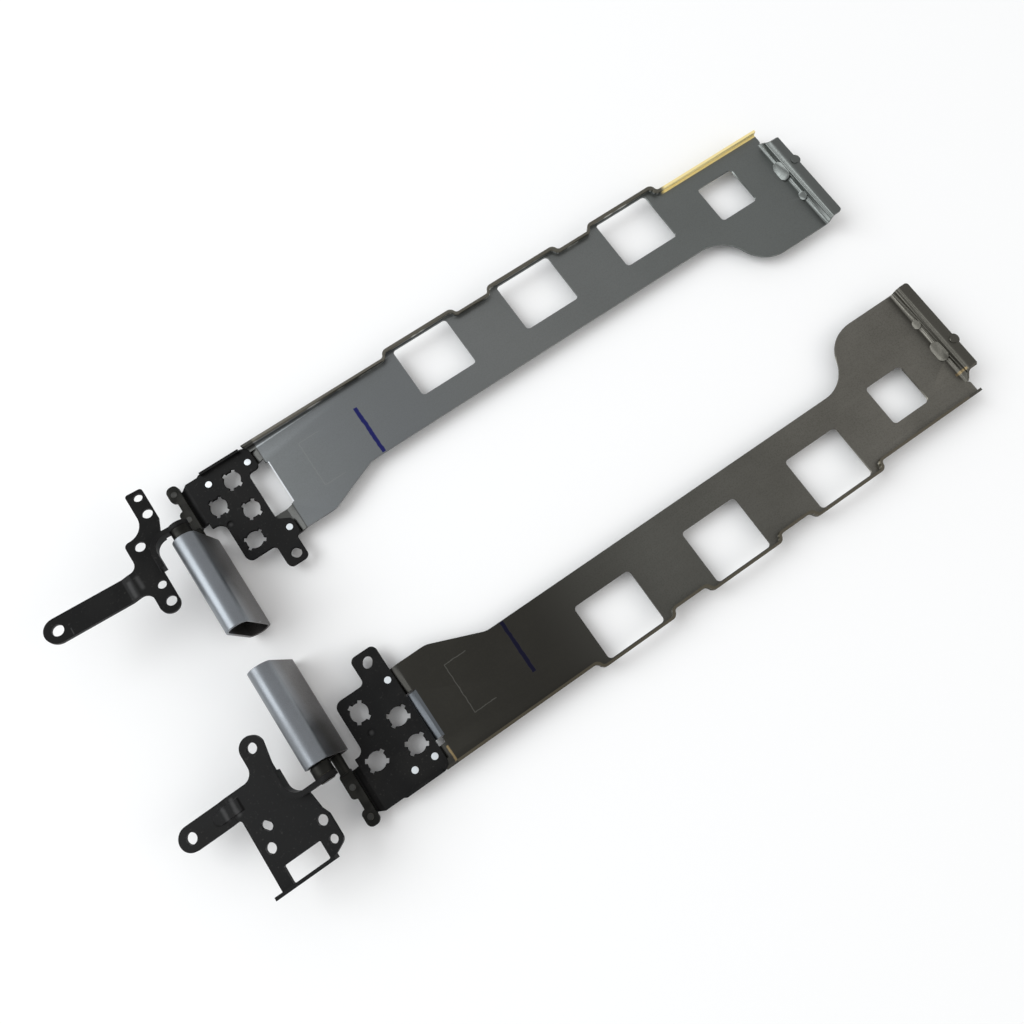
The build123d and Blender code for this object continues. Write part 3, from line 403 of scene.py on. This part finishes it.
# %% The plated skin with its painted reflection, and the worn lip of a rail
def plating_and_painted_reflection(tree, look, x):
    """The plain skin, with a painted reflection that drifts along the rail: its colour, its clouds and its
    specks.
    """
    colour = blend_colour(tree, ramp(tree, x, *NEAR_DRIFT), look["near"], look["middle"])
    colour = blend_colour(tree, ramp(tree, x, *FAR_DRIFT), colour, look["far"])
    cloud = use_group(tree, blotches, Fineness=45.0, Low=0.35, High=0.75)
    colour = tinted(tree, colour, cloud, CLOUD_STRENGTH, look["dark"])
    speck = use_group(tree, blotches, Fineness=2600.0, Low=0.40, High=0.70)
    colour = tinted(tree, colour, speck, SPECK_STRENGTH, look["dark"])
    lines = use_group(tree, sheet_grain, Fineness=1400.0, Stretch=(0.06, 1.0, 1.0))
    colour = tinted(tree, colour, lines, GRAIN_STRENGTH, look["dark"])
    return colour, cloud, speck


def worn_lip(tree, colour, look, x, z):
    """Browns the lip along the rail, darkens the flange at its far end and scuffs the lip's foot."""
    before_flange = ramp(tree, x, *FLANGE_START, 1.0, 0.0)
    raised = ramp(tree, z, LIP_FOOT, LIP_TOP)
    colour = tinted(tree, colour, both(tree, raised, before_flange), LIP_STRENGTH, LIP_BROWN)
    folded = both(tree, raised, rest_of(tree, before_flange))
    colour = tinted(tree, colour, folded, FLANGE_STRENGTH, look["dark"])
    band = both(tree, ramp(tree, z, *SCUFF_FOOT), ramp(tree, z, *SCUFF_TOP, 1.0, 0.0))
    patches = use_group(tree, blotches, Fineness=170.0, Low=0.52, High=0.64)
    scuff = both(tree, both(tree, band, before_flange), patches)
    return tinted(tree, colour, scuff, SCUFF_STRENGTH, SCUFF)


# %% The marks on a rail
def scribed_frame(tree, side):
    """The three lines of a frame that was scratched on the rail to mark a place."""
    mask = use_group(
        tree, drawn_stroke, X=SCRIBE_X, Y=side * (SCRIBE_LOW + SCRIBE_HIGH) / 2,
        Half_width=SCRIBE_HALF_WIDTH, Half_length=(SCRIBE_HIGH - SCRIBE_LOW) / 2, Softness=SCRIBE_SOFTNESS,
    )
    for y in (SCRIBE_LOW, SCRIBE_HIGH):
        arm = use_group(
            tree, drawn_stroke, X=SCRIBE_X + SCRIBE_LENGTH / 2, Y=side * y,
            Half_width=SCRIBE_LENGTH / 2, Half_length=SCRIBE_HALF_WIDTH, Softness=SCRIBE_SOFTNESS,
        )
        mask = calc(tree, "MAXIMUM", mask, arm)
    return mask


def bay_edge(tree, look, x, y):
    """The edge of the sheet between the two lowered legs, as a mask for the light painted there."""
    from_middle = calc(tree, "ABSOLUTE", calc(tree, "SUBTRACT", y, look["side"] * BAY_MIDDLE))
    along_bay = ramp(tree, from_middle, BAY_HALF_LENGTH, BAY_HALF_LENGTH + BAY_SOFTNESS, 1.0, 0.0)
    at_edge = ramp(tree, x, look["bay_x"], look["bay_x"] + BAY_SOFTNESS, 1.0, 0.0)
    return both(tree, along_bay, at_edge)


def ink_stroke(tree, side):
    """The straight stroke of ink across the rail."""
    return use_group(
        tree, drawn_stroke, X=INK_X, Y=side * INK_MIDDLE, Half_width=INK_HALF_WIDTH,
        Half_length=INK_HALF_LENGTH, Softness=INK_SOFTNESS,
    )


# %% Put the rail steels together
def rail_steel(name, look):
    """Plated sheet with its worn lip and edges, and the marks that were made on it."""
    material, tree, shader = new_material(name)
    x, y, z = axes_of(tree)
    colour, cloud, speck = plating_and_painted_reflection(tree, look, x)
    colour = worn_lip(tree, colour, look, x, z)
    colour = tinted(tree, colour, scribed_frame(tree, look["side"]), look["scribe"], PALE_SCRATCH)
    # Rubbed cut edges, and a painted sheen on the rounded folds
    edge_wear_and_sheen = use_group(tree, edge_wear_and_fold_sheen, Amount=0.54, Fineness=350.0)
    colour = tinted(tree, colour, edge_wear_and_sheen, WEAR_AND_SHEEN_STRENGTH, CUT_EDGE_AND_FOLD_SHEEN)
    colour = blend_colour(tree, ramp(tree, x, *LEG_START, LEG_STRENGTH, 0.0), colour, DULL_STEP)
    # At the bay's edge: a painted highlight on the left rail and a painted reflection on the right one
    colour = blend_colour(tree, bay_edge(tree, look, x, y), colour, look["bay_painted_light"])
    for stroke in look["brass"]:
        brass = use_group(tree, drawn_stroke, Softness=BRASS_SOFTNESS, **stroke)
        colour = tinted(tree, colour, brass, BRASS_STRENGTH, BRASS)
    gold = both(tree, ramp(tree, x, *GOLD_START), ramp(tree, y, *GOLD_INNER_Y))
    colour = blend_colour(tree, gold, colour, LIP_GOLD)
    ink = ink_stroke(tree, look["side"])
    colour = tinted(tree, colour, ink, INK_STRENGTH, look["ink"])
    tree.links.new(colour, shader.inputs["Base Color"])
    plain = rest_of(tree, gold)
    dull = ramp(tree, calc(tree, "ADD", cloud, speck), 0.0, 2.0, *PLATED_ROUGHNESS)
    dull = calc(tree, "SUBTRACT", dull, both(tree, edge_wear_and_sheen, RUB_POLISH))
    dull = calc(tree, "ADD", both(tree, dull, plain), both(tree, gold, GOLD_ROUGHNESS))
    tree.links.new(dull, shader.inputs["Roughness"])
    coated = calc(tree, "MAXIMUM", ink, both(tree, gold, GOLD_COAT))
    tree.links.new(rest_of(tree, coated), shader.inputs["Metallic"])
    shine = calc(tree, "SUBTRACT", STEEL_SHINE, both(tree, ink, INK_DULLING))
    tree.links.new(shine, shader.inputs["Specular IOR Level"])
    bump(tree, shader, both(tree, speck, plain), strength=0.06, distance=0.006 * MM)
    return material


finishes = {}
for name, look in RAIL_LOOKS.items():
    finishes[name] = rail_steel(name, look)
print("finishes:", list(finishes))

# %% [markdown]
# ### Black dip of the brackets
# The brackets are dipped in a thin black coat that is dull and never quite even. A plain black would hide
# their form, so dust lies on it, a highlight is painted on the bends and dimples, and one scratch is paler.
# Each of those is a soft stroke of the shared group, because it needs only a place and a size.

# %% Black dip
BLACK_COAT = ((0.0045, 0.0045, 0.0045, 1), (0.009, 0.0088, 0.0085, 1))
BLACK_DUST = (0.045, 0.043, 0.040, 1)
BLACK_WORN_AND_SHEEN = (0.10, 0.10, 0.10, 1)
BLACK_SHEEN_AND_SCRATCH = (0.075, 0.075, 0.075, 1)
BLACK_ROUGHNESS = (0.46, 0.60)
BLACK_SHINE = 0.13
DUST_STRENGTH = 0.35
SHEEN_AND_SCRATCH_STRENGTH = 0.5
MARK_HALF_WIDTH = 0.05 * MM
MARK_SOFTNESS = 0.9 * MM
SCRATCH_SOFTNESS = 0.15 * MM
# Painted highlights on the bends and dimples, and one real scratch
BLACK_HIGHLIGHT_AND_SCRATCH_PLACES = {
    "left arm, upper bend": dict(X=-104.8 * MM, Y=31.2 * MM, Half_length=1.6 * MM),
    "left arm, lower bend": dict(X=-107.4 * MM, Y=30.6 * MM, Half_length=2.0 * MM),
    "right arm, upper bend": dict(X=-113.9 * MM, Y=-32.2 * MM, Half_length=2.2 * MM),
    "right arm, lower bend": dict(X=-117.1 * MM, Y=-32.2 * MM, Half_length=1.6 * MM),
    "left arm, scratch": dict(
        X=-124.8 * MM, Y=28.9 * MM, Half_length=0.9 * MM, Softness=SCRATCH_SOFTNESS
    ),
    "left bracket, dimple": dict(X=-78.8 * MM, Y=36.9 * MM, Half_length=MARK_HALF_WIDTH),
    "right bracket, dimple": dict(X=-76.3 * MM, Y=-35.5 * MM, Half_length=MARK_HALF_WIDTH),
}


def black_dip(name):
    """A thin black coat, slightly uneven, grey where its rounded edges are rubbed, with a painted sheen on
    its folds and painted highlights on bends and dimples.
    """
    material, tree, shader = new_material(name)
    cloud = use_group(tree, blotches, Fineness=120.0, Low=0.4, High=0.7)
    colour = blend_colour(tree, cloud, *BLACK_COAT)
    dust = use_group(tree, blotches, Fineness=1500.0, Low=0.60, High=0.72)
    colour = tinted(tree, colour, dust, DUST_STRENGTH, BLACK_DUST)
    # Rubbed cut edges, and a painted sheen on the rounded folds
    edge_wear_and_sheen = use_group(tree, edge_wear_and_fold_sheen, Amount=0.42, Fineness=500.0)
    colour = blend_colour(tree, edge_wear_and_sheen, colour, BLACK_WORN_AND_SHEEN)
    # A painted highlight along each bend and on each dimple, and one paler scratch
    for place in BLACK_HIGHLIGHT_AND_SCRATCH_PLACES.values():
        stroke = {"Half_width": MARK_HALF_WIDTH, "Softness": MARK_SOFTNESS, **place}
        mark = use_group(tree, drawn_stroke, **stroke)
        colour = tinted(tree, colour, mark, SHEEN_AND_SCRATCH_STRENGTH, BLACK_SHEEN_AND_SCRATCH)
    tree.links.new(colour, shader.inputs["Base Color"])
    tree.links.new(ramp(tree, cloud, 0.0, 1.0, *BLACK_ROUGHNESS), shader.inputs["Roughness"])
    shader.inputs["Specular IOR Level"].default_value = BLACK_SHINE
    peel = noise(tree, scale=1800.0, detail=3.0)
    bump(tree, shader, peel, strength=0.15, distance=0.02 * MM)
    return material


finishes["black_steel"] = black_dip("black_steel")
print("finishes:", list(finishes))

# %% [markdown]
# ### Satin sleeve
# A sleeve is grey metal flake under a satin coat. A highlight is painted along its crest, and a darker,
# warmer shade on its flanks. A ramp on the height gives that change, and a very fine speckle stands for
# the flake, both in the colour and in the bump.

# %% Satin sleeve
FLANK_TOP = 11 * MM
CREST_FOOT = 20.5 * MM
LIT_CREST_GREY = ((0.215, 0.232, 0.250, 1), (0.185, 0.197, 0.210, 1))
SHADED_FLANK_GREY = (0.092, 0.086, 0.082, 1)
FLAKE = (0.30, 0.31, 0.33, 1)
FLAKE_STRENGTH = 0.30
SLEEVE_ROUGHNESS = (0.33, 0.42)
SLEEVE_METAL = 0.85
SLEEVE_RUBBED = (0.50, 0.51, 0.53, 1)


def satin_sleeve(name):
    """Grey metal flake under a satin coat, with a painted highlight on its crest, painted shade on its
    flanks, and paler on its rubbed edges.
    """
    material, tree, shader = new_material(name)
    cloud = use_group(tree, blotches, Fineness=70.0, Low=0.35, High=0.75)
    colour = blend_colour(tree, cloud, *LIT_CREST_GREY)
    height = axes_of(tree)[2]
    # Painted shade: below the crest the flanks turn darker and warmer, and the crest above carries a
    # painted highlight
    colour = blend_colour(tree, ramp(tree, height, FLANK_TOP, CREST_FOOT, 1.0, 0.0), colour, SHADED_FLANK_GREY)
    flake = use_group(tree, blotches, Fineness=5200.0, Low=0.42, High=0.68)
    colour = tinted(tree, colour, flake, FLAKE_STRENGTH, FLAKE)
    edge_wear_and_sheen = use_group(tree, edge_wear_and_fold_sheen, Amount=0.42, Fineness=500.0)
    colour = blend_colour(tree, edge_wear_and_sheen, colour, SLEEVE_RUBBED)
    tree.links.new(colour, shader.inputs["Base Color"])
    tree.links.new(ramp(tree, cloud, 0.0, 1.0, *SLEEVE_ROUGHNESS), shader.inputs["Roughness"])
    shader.inputs["Metallic"].default_value = SLEEVE_METAL
    bump(tree, shader, flake, strength=0.10, distance=0.008 * MM)
    return material


finishes["cover_metal"] = satin_sleeve("cover_metal")
print("finishes:", list(finishes))

# %% [markdown]
# ### Small steel parts
# Rivets, shafts, springs, nuts and link plates are turned, headed or stamped steel with a film of oil. They
# differ only in shade, gloss and wear, so one function makes them all from a short table.

# %% Plain steels of the small parts
def plain_steel(name, pale, dark, smooth, rough, wear):
    """Steel with an oily, blotchy skin and edges that are bare as far as it is worn."""
    material, tree, shader = new_material(name)
    cloud = use_group(tree, blotches, Fineness=300.0, Low=0.35, High=0.7)
    colour = blend_colour(tree, cloud, pale, dark)
    edge_wear_and_sheen = use_group(tree, edge_wear_and_fold_sheen, Amount=0.55, Fineness=600.0)
    colour = tinted(tree, colour, edge_wear_and_sheen, wear, CUT_EDGE_AND_FOLD_SHEEN)
    tree.links.new(colour, shader.inputs["Base Color"])
    tree.links.new(ramp(tree, cloud, 0.0, 1.0, smooth, rough), shader.inputs["Roughness"])
    shader.inputs["Metallic"].default_value = 1.0
    grit = noise(tree, scale=2500.0, detail=3.0)
    bump(tree, shader, grit, strength=0.1, distance=0.01 * MM)
    return material


# Each row: pale tint, dark tint, roughness of the pale and of the dark parts, wear of the edges
SMALL_STEELS = {
    "rivet_steel": ((0.74, 0.78, 0.80, 1), (0.60, 0.63, 0.65, 1), 0.38, 0.50, 0.3),
    "dark_rivet_steel": ((0.070, 0.070, 0.066, 1), (0.045, 0.045, 0.042, 1), 0.45, 0.60, 0.2),
    "dark_shaft_steel": ((0.026, 0.0255, 0.023, 1), (0.016, 0.016, 0.0145, 1), 0.40, 0.54, 0.12),
    "spring_steel": ((0.34, 0.33, 0.31, 1), (0.22, 0.21, 0.20, 1), 0.30, 0.45, 1.0),
    "nut_steel": ((0.50, 0.49, 0.47, 1), (0.34, 0.33, 0.31, 1), 0.30, 0.45, 1.0),
    "link_steel": ((0.30, 0.30, 0.30, 1), (0.20, 0.20, 0.20, 1), 0.35, 0.50, 1.0),
}
for name, look in SMALL_STEELS.items():
    finishes[name] = plain_steel(name, *look)
print("finishes:", list(finishes))

# %% [markdown]
# ## Folds and rounded edges
# A stamped sheet never has knife edges: the punch rolls one side over, tumbling breaks the other, and
# every fold has a radius. Each piece starts as a merged copy of its CAD mesh, and flat triangles are
# joined into whole faces. The slanted steps are bevelled first, then the inside corners of lips and
# bosses, and last the cut edges. The new faces are marked: the cut edges fully, so that the finishes can
# rub them, and the folds more weakly, so that the finishes paint a sheen along them.
#
# One thing to watch: clamp_overlap holds a whole bevel call to what its tightest spot leaves room for. The
# sleeves, rivets, base shafts, bead and most nuts come out as wide as asked, and so do the inside corners
# of the left base bracket. The steps of both base brackets come out under half as wide, and the cut edges
# of the left one under a quarter. On the rails, the display brackets, the display shafts, and the inside
# corners and cut edges of the right base bracket, the new faces are too narrow to see. Those edges look
# sharp, and no wear shows on them.

# %% Helpers for rounded copies
SHARP = radians(32)
STEP_LOW = radians(14)
STEP_HIGH = radians(60)
STEEP = 0.7
CUT_MARK = 1.0
# Folds get a weaker mark than cut edges, and the finishes paint a sheen along them from it
FOLD_SHEEN_MARK = 0.35
FOLD_SEGMENTS = 3
CUT_SEGMENTS = 2
MERGE_DISTANCE = 0.004 * MM
FLAT_ANGLE = radians(0.6)


def face_turn(edge):
    """The angle by which the surface turns at an edge, or 0 where it isn't between two faces."""
    return edge.calc_face_angle() if len(edge.link_faces) == 2 else 0.0


def lies_flat(edge):
    """Whether an edge runs along the sheet and not through its thickness."""
    run = edge.verts[1].co - edge.verts[0].co
    return abs(run.z) < STEEP * run.length


def round_edges(bm, edges, radius, segments, layer, mark):
    """Bevels some edges and marks the faces that this makes."""
    made = bmesh.ops.bevel(
        bm, geom=edges, offset=radius, offset_type="OFFSET", segments=segments, profile=0.5,
        affect="EDGES", clamp_overlap=True, material=-1,
    )
    for face in made["faces"]:
        face[layer] = mark


def merged_copy(node):
    """A bmesh of a CAD node with its points merged and its flat faces whole, and its edge mark."""
    bm = bmesh.new()
    bm.from_mesh(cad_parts[node].data)
    layer = bm.faces.layers.float.new("rounded_edge")
    bmesh.ops.remove_doubles(bm, verts=bm.verts, dist=MERGE_DISTANCE)
    bmesh.ops.dissolve_limit(
        bm, angle_limit=FLAT_ANGLE, use_dissolve_boundaries=False, verts=bm.verts, edges=bm.edges
    )
    return bm, layer


def finish_copy(bm, node, slot, body):
    """Turns a bmesh into the piece that stands for a CAD node."""
    for face in bm.faces:
        face.smooth = True
    data = bpy.data.meshes.new(node + "_rounded")
    bm.to_mesh(data)
    bm.free()
    piece = bpy.data.objects.new(node + "_rounded", data)
    scene.collection.objects.link(piece)
    data.materials.append(finishes[slot])
    even = piece.modifiers.new("even_shading", "WEIGHTED_NORMAL")
    even.keep_sharp = True
    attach(piece, body)
    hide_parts(node)
    return piece


# %% [markdown]
# ## The bead of the right arm
# A bead is pressed into the arm of the right base bracket to stiffen it, and the press leaves round ends
# and soft flanks. It is bevelled in calls of its own, so that the short edges elsewhere on the bracket
# don't hold its roundings back.

# %% Helpers for the bead of the right arm
BEAD_X = (-121.0 * MM, -110.0 * MM)
BEAD_Y = (-34.1 * MM, -30.4 * MM)
BEAD_TURN = radians(38)
END_ROUND = 1.3 * MM
END_SEGMENTS = 5
FOOT_ROUND = 0.17 * MM
RIM_ROUND = 0.18 * MM


def on_bead(edge):
    """Whether an edge belongs to the bead pressed into the right arm."""
    inside = [BEAD_X[0] < v.co.x < BEAD_X[1] and BEAD_Y[0] < v.co.y < BEAD_Y[1] for v in edge.verts]
    return all(inside)


def bead_edges(bm):
    """The edges of the bead at which the surface turns."""
    return [e for e in bm.edges if on_bead(e) and face_turn(e) > BEAD_TURN]


def round_bead(bm, layer):
    """Gives the bead the round ends and the soft flanks that a press leaves."""
    ends = [e for e in bead_edges(bm) if e.is_convex and not lies_flat(e)]
    round_edges(bm, ends, END_ROUND, END_SEGMENTS, layer, FOLD_SHEEN_MARK)
    feet = [e for e in bead_edges(bm) if not e.is_convex]
    round_edges(bm, feet, FOOT_ROUND, FOLD_SEGMENTS, layer, FOLD_SHEEN_MARK)
    rims = [e for e in bead_edges(bm) if e.is_convex]
    round_edges(bm, rims, RIM_ROUND, FOLD_SEGMENTS, layer, FOLD_SHEEN_MARK)
    print("bead ends:", len(ends))


# %% Round the folds and edges of the sheet pieces
# Each row: piece, radius asked for at steps, inside corners and cut edges, material slot, body
SHEETS = [
    ("rail", 0.5 * MM, 0.25 * MM, 0.12 * MM, "{side}_rail_steel", "display_side"),
    ("display_bracket", 0.35 * MM, 0.3 * MM, 0.12 * MM, "black_steel", "display_side"),
    ("base_bracket", 0.5 * MM, 0.4 * MM, 0.14 * MM, "black_steel", "{side}_base"),
]
for side in ("left", "right"):
    for name, step_round, inside_round, cut_round, slot, body in SHEETS:
        node = side + "_" + name
        bm, layer = merged_copy(node)
        sheet = [e for e in bm.edges if lies_flat(e) and not on_bead(e)]
        steps = [e for e in sheet if STEP_LOW < face_turn(e) < STEP_HIGH]
        round_edges(bm, steps, step_round, FOLD_SEGMENTS, layer, FOLD_SHEEN_MARK)
        sheet = [e for e in bm.edges if lies_flat(e) and not on_bead(e)]
        insides = [e for e in sheet if face_turn(e) > STEP_HIGH and not e.is_convex]
        round_edges(bm, insides, inside_round, FOLD_SEGMENTS, layer, FOLD_SHEEN_MARK)
        cuts = [e for e in bm.edges if face_turn(e) > SHARP and not on_bead(e)]
        round_edges(bm, cuts, cut_round, CUT_SEGMENTS, layer, CUT_MARK)
        if node == "right_base_bracket":
            round_bead(bm, layer)
        piece = finish_copy(bm, node, slot.format(side=side), body.format(side=side))
        print(piece.name, len(steps), "steps", len(insides), "inside corners", len(cuts), "cut edges")

# %% [markdown]
# ## Sleeves, shafts, rivets and nuts
# These have a broken edge all round and no folds, so one bevel of their sharp edges is enough. The sleeves
# get one segment more, because their roundings are the largest of these.

# %% Round the edges of the sleeves, shafts, rivets and nuts
# Each row: piece, radius asked for, segments, material slot, body
TURNED = [
    ("display_shaft", 0.15 * MM, 2, "dark_shaft_steel", "display_side"),
    ("bracket_rivets", 0.07 * MM, 2, "rivet_steel", "display_side"),
    ("blade_rivets", 0.06 * MM, 2, "dark_rivet_steel", "display_side"),
    ("display_nut", 0.15 * MM, 2, "nut_steel", "display_side"),
    ("cover", 0.22 * MM, 3, "cover_metal", "{side}_link"),
    ("base_shaft", 0.15 * MM, 2, "dark_shaft_steel", "{side}_base"),
    ("base_nut", 0.15 * MM, 2, "nut_steel", "{side}_base"),
]
for side in ("left", "right"):
    for name, radius, segments, slot, body in TURNED:
        node = side + "_" + name
        bm, layer = merged_copy(node)
        cuts = [e for e in bm.edges if face_turn(e) > SHARP]
        round_edges(bm, cuts, radius, segments, layer, CUT_MARK)
        piece = finish_copy(bm, node, slot.format(side=side), body.format(side=side))
        print(piece.name, len(piece.data.polygons), "faces")

# %% [markdown]
# ## The pieces that stay as they are
# The washers, springs and link plates sit inside the sleeves, where only a glint of them shows. Their
# CAD meshes stay, and take the finish of their material slot.

# %% Finish the remaining nodes
KEPT = {
    "display_washers": "spring_steel",
    "display_springs": "spring_steel",
    "base_washers": "spring_steel",
    "base_springs": "spring_steel",
    "outer_link_plate": "link_steel",
    "inner_link_plate": "link_steel",
}
for side in ("left", "right"):
    for name, slot in KEPT.items():
        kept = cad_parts[side + "_" + name]
        kept.data.materials.clear()
        kept.data.materials.append(finishes[slot])
print("kept as they are:", 2 * len(KEPT), "nodes")
